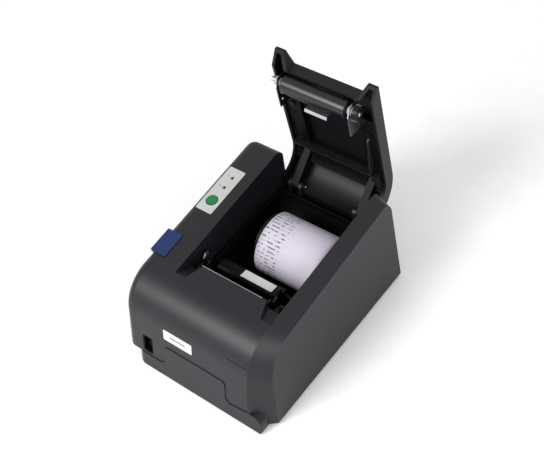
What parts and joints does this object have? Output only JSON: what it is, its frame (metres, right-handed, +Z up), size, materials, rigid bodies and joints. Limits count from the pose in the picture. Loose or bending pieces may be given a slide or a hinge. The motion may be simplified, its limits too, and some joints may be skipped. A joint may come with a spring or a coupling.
{
  "type": "receipt printer",
  "caption": "Desktop thermal receipt printer with an open clamshell lid, platen roller, paper bin with roll, tear bar, feed and release buttons.",
  "frame": {"origin": "centre, on the table, of the outline that the machine covers with its lid open", "axes": "+X to the machine's right seen from the front, +Y to the back, +Z up"},
  "size_m": [0.14, 0.2042, 0.1902],
  "materials": {
    "casing_plastic": "matte",
    "inner_plastic": "matte",
    "foot_rubber": "matte",
    "platen_rubber": "satin",
    "steel": "satin",
    "aluminium": "satin",
    "ceramic": "gloss",
    "gear_plastic": "satin",
    "brass": "satin",
    "bush_plastic": "satin",
    "paper": "matte",
    "core": "matte",
    "white_label": "satin",
    "grey_label": "satin",
    "feed_green": "satin",
    "release_blue": "satin",
    "lens": "gloss",
    "circuit_board": "satin",
    "black_component": "satin"
  },
  "bodies": {
    "casing": {"upper_housing": "casing_plastic", "lower_base": "casing_plastic", "right_side_panel": "casing_plastic", "paper_bin": "inner_plastic", "bin_divider": "inner_plastic", "paper_guide": "inner_plastic", "power_switch_housing": "inner_plastic", "rubber_feet": "foot_rubber", "case_screws": "steel", "mechanism_frame": "steel", "spring_rail": "steel", "tear_bar": "steel", "board_screws": "steel", "hinge_pins": "steel", "idler_pin": "steel", "latch_pin": "steel", "head_springs": "steel", "port_panel": "steel", "stepper_motor": "steel", "head_heatsink": "aluminium", "print_head": "ceramic", "front_label": "white_label", "guide_label": "white_label", "control_label": "grey_label", "led_lenses": "lens", "control_board": "circuit_board", "main_board": "circuit_board", "feed_switch": "black_component", "indicator_leds": "black_component", "paper_sensor": "black_component", "power_inlet": "black_component", "usb_port": "black_component", "drawer_port": "black_component"},
    "lid": {"lid_shell": "casing_plastic", "lid_frame": "inner_plastic", "lid_screws": "steel", "platen_bracket_left": "steel", "platen_bracket_right": "steel", "platen_bushes": "bush_plastic", "paper_strip": "steel", "lid_leaf": "steel"},
    "platen": {"platen_shaft": "steel", "platen_rubber": "platen_rubber", "platen_gear": "gear_plastic"},
    "roll": {"paper_roll": "paper", "roll_core": "core"},
    "idler": {"idler_gear": "gear_plastic"},
    "pinion": {"motor_pinion": "brass"},
    "latch": {"release_latch": "steel"},
    "release": {"release_button": "release_blue"},
    "feed": {"feed_button": "feed_green"},
    "rocker": {"power_rocker": "inner_plastic"}
  },
  "joints": [
    {"name": "lid_hinge", "type": "hinge", "parent": "casing", "child": "lid", "pos_m": [0.00004, 0.07467, 0.062], "axis": [1, 0, 0], "range_deg": [0, 88.5]},
    {"name": "platen_spin", "type": "hinge", "parent": "lid", "child": "platen", "pos_m": [0.00004, 0.07861, 0.16782], "axis": [1, 0, 0], "continuous": true},
    {"name": "roll_spin", "type": "hinge", "parent": "casing", "child": "roll", "pos_m": [0.00004, 0.02387, 0.0491], "axis": [1, 0, 0], "continuous": true},
    {"name": "idler_spin", "type": "hinge", "parent": "casing", "child": "idler", "pos_m": [0.00004, -0.03601, 0.05658], "axis": [1, 0, 0], "continuous": true},
    {"name": "pinion_spin", "type": "hinge", "parent": "casing", "child": "pinion", "pos_m": [0.00004, -0.03901, 0.04691], "axis": [1, 0, 0], "continuous": true},
    {"name": "release_press", "type": "slide", "parent": "casing", "child": "release", "axis": [0, 0.1011, -0.9949], "range_m": [0, 0.003], "stiffness_N_per_m": 300, "springref_m": -0.002},
    {"name": "latch_turn", "type": "hinge", "parent": "casing", "child": "latch", "pos_m": [0.00004, -0.02833, 0.046], "axis": [1, 0, 0], "range_deg": [-10, 0]},
    {"name": "feed_press", "type": "slide", "parent": "casing", "child": "feed", "axis": [0, 0.1011, -0.9949], "range_m": [0, 0.001], "stiffness_N_per_m": 500, "springref_m": -0.001},
    {"name": "rocker_tilt", "type": "hinge", "parent": "casing", "child": "rocker", "pos_m": [-0.04746, -0.09073, 0.02427], "axis": [1, 0, 0], "range_deg": [0, 18]}
  ],
  "couplings": [
    {"joint": "pinion_spin", "follows": "idler_spin", "ratio": -2.3333},
    {"joint": "latch_turn", "follows": "release_press", "rad_per_m": -57}
  ]
}
